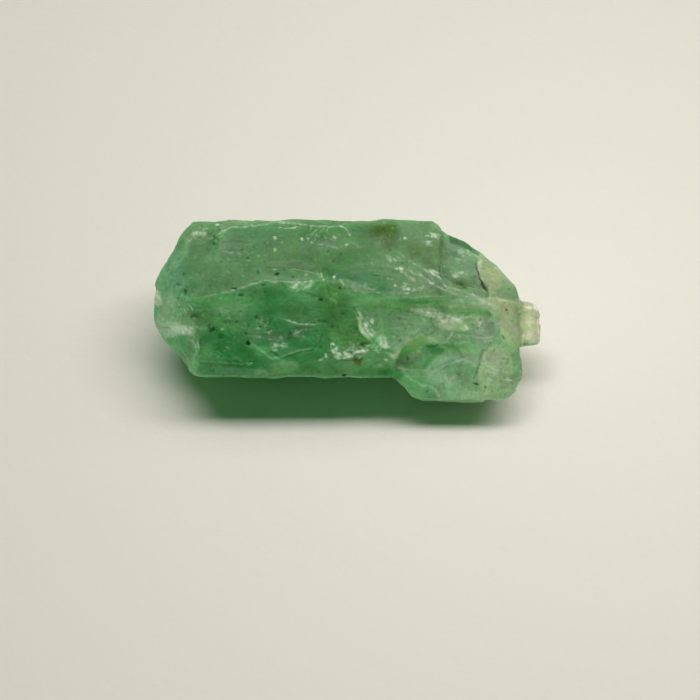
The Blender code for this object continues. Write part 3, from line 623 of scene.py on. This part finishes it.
# ---- the colours and marks of the skin -----------------------------------
def lay_ellipses(skin, colour, table):
    """Lays a table's soft ellipses of colour over the colours that are there."""
    for shade, ellipses in table:
        for x, y, wide, high, strength, *turn in ellipses:
            part = skin.spot(x, y, wide, high, *turn, soft=0.6)[:, None]
            colour = colour + (shade - colour) * part * strength
    return colour


def hidden_colours(skin):
    """Colours by place along the prism, in broad clouds."""
    along = skin.points[:, 0:1]
    drift = fractal(skin.points, (3.0, 2.5, 2.5), (4.0, 1.0, 9.0))[:, None]
    to_teal = (TEAL - LEAF) * ramp(-along, *TEAL_LEFT)
    to_grey = (GREY - LEAF) * ramp(along + drift, *GREY_RIGHT)
    colour = LEAF + to_teal + to_grey
    colour = colour + (DEEP - colour) * 0.55 * ramp(drift, 0.05, 0.6)
    colour = colour + (STRAW - colour) * 0.8 * ramp(along, *STRAW_RIGHT)
    return colour + (GLASS - colour) * ramp(along, *GLASS_RIGHT)


def seen_colours(skin):
    """Colours by the tables: a start that turns greyer to the right, then zones, faces and clouds."""
    colour = LEAF + (GREY - LEAF) * ramp(skin.x[:, None], 350, 470)
    colour = lay_ellipses(skin, colour, ZONES)
    for shade, strength, soft, outline in FACETS:
        colour = colour + (shade - colour) * skin.patch(outline, soft)[:, None] * strength
    return lay_ellipses(skin, colour, CLOUDS)


def paint(skin):
    """Colours the skin, with painted light on the sides that face the front and the left, and says how much
    light each place lets through.
    """
    colour = hidden_colours(skin)
    colour = colour + (seen_colours(skin) - colour) * skin.seen[:, None]
    # painted light: sides that face the front or the left get lighter colours, for the light they get less of
    front = ramp(-skin.normals[:, 1:2], 0.25, 0.75)
    left = ramp(-skin.normals[:, 0:1], 0.3, 0.8)
    skin.colour = colour * (1 + front * PAINTED_LIGHT_FRONT + left * PAINTED_LIGHT_LEFT)
    skin.marks["clear"] = CLOUDY + STUB_CLEARER * ramp(skin.points[:, 0], *CLEAR_RIGHT)


def cover(skin, name, amount):
    """Lays a mark over those that are there: it hides its share of what they leave to see."""
    skin.marks[name] = 1 - (1 - skin.marks[name]) * (1 - amount)


def scattered(x, y, across, down):
    """A random place in a group of marks."""
    return np.array([x, y]) + RANDOM.normal(0, 0.6, 2) * (across, down)


def mark_cracks(skin):
    """Troughs in the skin, dark at the bottom."""
    for depth, width, strength, line in CRACKS:
        away = skin.to_line(line)[0]
        skin.height -= skin.seen * depth * (1 - ramp(away, 0, width * 1.3))
        cover(skin, "dark", skin.seen * strength * (1 - ramp(away, width * 0.4, width * 1.3)))


def mark_feathers(skin, broken):
    """Groups of short pale cracks, each a little bent."""
    for x, y, across, down, count, length, turn, strength in FEATHERS:
        for _ in range(count):
            middle = scattered(x, y, across, down)
            lean = math.radians(turn + RANDOM.normal(0, 9))
            half = RANDOM.uniform(0.3, 0.7) * length * np.array([math.cos(lean), math.sin(lean)])
            bend = middle + RANDOM.normal(0, 0.3, 2)
            away = skin.to_line([middle - half, bend, middle + half])[0]
            amount = skin.seen * strength * RANDOM.uniform(*UNEVEN) * (1 - ramp(away, 0.0, HAIR))
            cover(skin, "white", np.clip(amount * broken, 0, 1))


def mark_mica(skin):
    """Groups of small dark grains."""
    for x, y, across, down, count, size, strength in MICA:
        for _ in range(count):
            middle = scattered(x, y, across, down)
            wide, high = size * RANDOM.uniform(0.4, 1.1, 2) * (1.25, 0.9)
            amount = skin.spot(*middle, wide, high, RANDOM.uniform(-40, 40), soft=0.5)
            cover(skin, "dark", amount * strength * RANDOM.uniform(*UNEVEN))


def mark_bruises_and_highlights(skin, broken):
    """Pale lines, some of them painted highlights, that stand out of the skin a little."""
    for strength, width, line in BRUISES_AND_HIGHLIGHTS:
        away = skin.to_line(line)[0]
        amount = skin.seen * strength * (1 - ramp(away, 0.0, width))
        cover(skin, "white", np.clip(amount * broken, 0, 1))
        skin.height += BRUISE_RISE * amount


def mark_flakes_and_glints(skin, broken):
    """White patches, some of them painted glints, that stand out of the skin a little."""
    for x, y, wide, high, strength, *turn in FLAKES_AND_GLINTS:
        amount = skin.spot(x, y, wide, high, *turn, soft=0.22)
        cover(skin, "white", np.clip(amount * strength * broken, 0, 1))
        skin.height += FLAKE_RISE * amount * strength * broken


def mark_specks(skin):
    """Dark grains, each in a small pit."""
    for x, y, wide, high, strength, *turn in SPECKS:
        amount = skin.spot(x, y, wide, high, *turn, soft=0.35)
        cover(skin, "dark", amount * strength)
        skin.height -= SPECK_SINK * amount * strength


def mark_seen_side(skin):
    """Everything that the tables place by the photograph; broken is what makes white marks uneven."""
    for rise, fade, line in LEDGES:
        skin.step(line, fade, rise)
    mark_cracks(skin)
    broken = 0.15 + 1.1 * ramp(fractal(skin.points, 0.16, (3.0, 8.0, 1.0)), -0.45, 0.45)
    mark_feathers(skin, broken)
    mark_mica(skin)
    mark_bruises_and_highlights(skin, broken)
    mark_flakes_and_glints(skin, broken)
    mark_specks(skin)


def blob(skin, place, size, full, gone):
    """From 1 at a place to 0 away from it; size is its half length along each axis, in millimetres."""
    return 1 - ramp(np.linalg.norm((skin.points - place) / size, axis=1), full, gone)


def mark_hidden_sides(skin):
    """Grains and bruises of the same kinds at random places where the camera doesn't look."""
    broken = 0.2 + ramp(fractal(skin.points, 0.22, (6.0, 2.0, 4.0), 4), -0.35, 0.35)
    hidden = (1 - skin.seen) * broken
    turned_away = np.flatnonzero(skin.facing < 0)
    places = skin.points[RANDOM.choice(turned_away, HIDDEN_GRAINS + HIDDEN_BRUISES)]
    for place in places[:HIDDEN_GRAINS]:
        size = RANDOM.uniform(0.05, 0.12) * RANDOM.uniform(0.6, 1.6, 3)
        amount = hidden * blob(skin, place, size, 0.6, 1.4)
        cover(skin, "dark", np.clip(amount * RANDOM.uniform(0.5, 1.0), 0, 1))
    for place in places[HIDDEN_GRAINS:]:
        size = RANDOM.uniform(0.15, 0.55) * np.array([2.0, 0.28, 0.28])
        amount = hidden * blob(skin, place, size, 0.3, 1.5)
        cover(skin, "white", np.clip(amount * RANDOM.uniform(0.10, 0.35), 0, 1))


def chip(skin, cell, tilt, strength):
    """Breaks the skin into small flat facets: each point leans with the facet whose middle is nearest."""
    stretch = np.array([1.0 / FACET_LENGTH, 1.0, 1.0])
    low, high = skin.points.min(0), skin.points.max(0)
    count = int(np.prod((high - low) * stretch) / cell ** 3)
    middles = low + RANDOM.random((count, 3)) * (high - low)
    leans = RANDOM.normal(0.0, tilt, (count, 3))
    tree = KDTree(count)
    for k, middle in enumerate(middles * stretch):
        tree.insert(middle, k)
    tree.balance()
    nearest = np.array([tree.find(spot)[1] for spot in skin.points * stretch])
    lift = ((skin.points - middles[nearest]) * leans[nearest]).sum(1)
    skin.height += np.clip(lift, -cell * tilt, cell * tilt) * strength


def sculpt(skin):
    """Gives the skin its relief, from broad facets to fine grain."""
    rugged = 0.35 + 0.65 * ramp(fractal(skin.points, 2.5, (1.0, 5.0, 2.0)), -0.3, 0.4)
    flat_top = ramp(skin.normals[:, 2], 0.90, 0.99) * ramp(4.0 - skin.points[:, 0], 0.0, 1.0)
    rugged = rugged * (1 - 0.75 * flat_top) * (1 - 0.4 * skin.seen)
    chip(skin, 1.6, 0.050, rugged)
    chip(skin, 0.6, 0.055, rugged)
    lumps = fractal(skin.points, (0.9, 0.35, 0.35), (2.0, 4.0, 7.0), 4)
    skin.height += 0.022 * rugged * lumps
    growth_lines = fractal(skin.points, (1.6, 0.12, 0.12), (9.0, 3.0, 5.0), 2)
    skin.height += 0.006 * growth_lines
    mark_seen_side(skin)
    mark_hidden_sides(skin)
    skin.marks["clear"] *= ((1 - skin.marks["white"]) * (1 - skin.marks["dark"])) ** 2
    skin.raise_skin()


# ---- the materials -------------------------------------------------------
def new_material(name):
    """A new material, with its node tree and its shader."""
    material = bpy.data.materials.new(name)
    material.use_nodes = True
    tree = material.node_tree
    return material, tree, tree.nodes["Principled BSDF"]


def add(tree, kind, **settings):
    """A new node; a setting that names an input sets its value, and any other sets a property."""
    node = tree.nodes.new(kind)
    for name, value in settings.items():
        if name in node.inputs:
            node.inputs[name].default_value = value
        else:
            setattr(node, name, value)
    return node


def noise_over(tree, place, scale, detail, roughness):
    """A noise over the object, with this many waves to the metre."""
    texture = add(tree, "ShaderNodeTexNoise", Scale=scale, Detail=detail, Roughness=roughness)
    tree.links.new(place, texture.inputs["Vector"])
    return texture.outputs["Fac"]


def ranged(tree, value, low, high, to_low, to_high):
    """A value between low and high, carried to between two others."""
    limits = {"From Min": low, "From Max": high, "To Min": to_low, "To Max": to_high}
    node = add(tree, "ShaderNodeMapRange", **limits)
    tree.links.new(value, node.inputs["Value"])
    return node.outputs["Result"]


def mottled(tree, colour, fac, least, most):
    """A colour times a noise that is carried to between least and most."""
    mix = add(tree, "ShaderNodeMix", data_type="RGBA", blend_type="MULTIPLY")
    mix.inputs["Factor"].default_value = 1.0
    tree.links.new(colour, mix.inputs["A"])
    tree.links.new(ranged(tree, fac, 0.3, 0.7, least, most), mix.inputs["B"])
    return mix.outputs["Result"]


def layer(tree, below, share, colour):
    """A plain colour laid over another one by a share from 0 to 1."""
    mix = add(tree, "ShaderNodeMix", data_type="RGBA")
    tree.links.new(share, mix.inputs["Factor"])
    tree.links.new(below, mix.inputs["A"])
    mix.inputs["B"].default_value = (*colour, 1.0)
    return mix.outputs["Result"]


def bumped(tree, shader, height, strength, distance):
    """Gives the shader the bump of a texture; distance is in metres."""
    bump = add(tree, "ShaderNodeBump", Strength=strength, Distance=distance)
    tree.links.new(height, bump.inputs["Height"])
    tree.links.new(bump.outputs["Normal"], shader.inputs["Normal"])


def emerald_colour(tree, place, zone, white, dark):
    """The skin's colours, clouded and gritty, with sparse pale and dark flecks, and then its marks."""
    colour = mottled(tree, zone, noise_over(tree, place, 900.0, 6.0, 0.62), 0.78, 1.22)
    colour = mottled(tree, colour, noise_over(tree, place, 6500.0, 4.0, 0.7), 0.81, 1.19)
    for scale, strength, fleck in ((3100.0, 0.25, FROST), (2300.0, 0.45, DEEP * 0.5)):
        share = ranged(tree, noise_over(tree, place, scale, 2.0, 0.5), 0.67, 0.75, 0.0, strength)
        colour = layer(tree, colour, share, fleck)
    colour = layer(tree, colour, white, FROST)
    return layer(tree, colour, dark, SPECK)


def emerald():
    """Cloudy stone: light scatters inside it, and a little passes through it, least of all at its marks."""
    material, tree, shader = new_material("emerald")
    link = tree.links.new
    place = add(tree, "ShaderNodeTexCoord").outputs["Object"]
    # the nodes are made in this order on purpose: in another order, the crystal came out black
    zone = add(tree, "ShaderNodeAttribute", attribute_name="zone").outputs["Color"]
    white, dark, clear = [add(tree, "ShaderNodeAttribute", attribute_name=m).outputs["Fac"] for m in MARKS]
    link(emerald_colour(tree, place, zone, white, dark), shader.inputs["Base Color"])
    marked = add(tree, "ShaderNodeMath", operation="MAXIMUM")
    link(white, marked.inputs[0])
    link(dark, marked.inputs[1])
    link(ranged(tree, white, 0.0, 1.0, 0.58, 0.66), shader.inputs["Roughness"])
    link(ranged(tree, marked.outputs["Value"], 0.0, 1.0, 0.75, 0.10), shader.inputs["Subsurface Weight"])
    link(clear, shader.inputs["Transmission Weight"])
    for name, value in (
        ("IOR", 1.58),
        ("Specular IOR Level", 0.12),
        ("Coat Weight", 0.08),
        ("Coat Roughness", 0.20),
        ("Subsurface Radius", (0.3, 1.0, 0.4)),
        ("Subsurface Scale", 0.0025),
    ):
        shader.inputs[name].default_value = value
    bumped(tree, shader, noise_over(tree, place, 4200.0, 4.0, 0.6), 0.14, 0.00003)
    volume = add(tree, "ShaderNodeVolumeAbsorption", Color=(0.35, 0.86, 0.45, 1.0), Density=260.0)
    link(volume.outputs["Volume"], tree.nodes["Material Output"].inputs["Volume"])
    return material


def paper():
    """Plain pale paper with the grain of its pulp, and a painted pool of light, palest just beyond the
    crystal's right end.
    """
    material, tree, shader = new_material("paper")
    link = tree.links.new
    place = add(tree, "ShaderNodeTexCoord").outputs["Object"]
    bumped(tree, shader, noise_over(tree, place, 1400.0, 5.0, 0.6), 0.45, 0.00006)
    # painted light: a round pool, brightest just beyond the crystal's right end, fading to the far paper
    # colour
    spread = add(tree, "ShaderNodeMapping", Location=(-0.29, -0.055, 0.0), Scale=(25.0, 25.0, 1.0))
    link(place, spread.inputs["Vector"])
    painted_pool = add(tree, "ShaderNodeTexGradient", gradient_type="SPHERICAL")
    link(spread.outputs["Vector"], painted_pool.inputs["Vector"])
    tone = add(tree, "ShaderNodeMix", data_type="RGBA")
    tone.inputs["A"].default_value = (*PAPER_OUTSIDE_PAINTED_POOL, 1.0)
    tone.inputs["B"].default_value = (*PAPER_IN_PAINTED_POOL, 1.0)
    link(painted_pool.outputs["Fac"], tone.inputs["Factor"])
    link(tone.outputs["Result"], shader.inputs["Base Color"])
    shader.inputs["Roughness"].default_value = 0.9
    shader.inputs["Specular IOR Level"].default_value = 0.2
    return material


# ---- the scene -----------------------------------------------------------
def crystal_piece():
    """The crystal with its fine skin, which stands for the CAD solid."""
    skin = Skin(skin_mesh())
    paint(skin)
    sculpt(skin)
    crystal = skin.finish("emerald")
    crystal.data.materials.clear()
    crystal.data.materials.append(emerald())
    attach(crystal, "root")
    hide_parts("emerald_crystal")


def floor():
    """A sheet of paper under the crystal, 3 m square."""
    bpy.ops.mesh.primitive_plane_add(size=3.0, location=(0, 0, 0))
    sheet = bpy.context.object
    sheet.name = "paper"
    sheet.data.materials.append(paper())


def lights():
    """Long soft lamps overhead and a little behind the crystal, and a dim room."""
    for name, place, (length, width), watts in LAMPS:
        data = bpy.data.lights.new(name, "AREA")
        data.shape = "RECTANGLE"
        data.size = length
        data.size_y = width
        data.energy = watts
        data.color = LAMP_COLOUR
        lamp = bpy.data.objects.new(name, data)
        lamp.location = place
        bpy.context.scene.collection.objects.link(lamp)
    world = bpy.data.worlds.new("studio")
    world.use_nodes = True
    room = world.node_tree.nodes["Background"]
    room.inputs["Color"].default_value = ROOM_COLOUR
    room.inputs["Strength"].default_value = ROOM_STRENGTH
    bpy.context.scene.world = world
    bpy.context.scene.view_settings.view_transform = "Standard"


def camera():
    """The photograph's viewpoint."""
    data = bpy.data.cameras.new("camera")
    data.lens = LENS
    data.sensor_width = SENSOR
    data.clip_start = 0.005
    data.clip_end = 10.0
    eye = bpy.data.objects.new("camera", data)
    eye.location = EYE * MM
    eye.rotation_euler = Vector(BACK).to_track_quat("Z", "Y").to_euler()
    bpy.context.scene.collection.objects.link(eye)
    bpy.context.scene.camera = eye


camera()
lights()
floor()
crystal_piece()
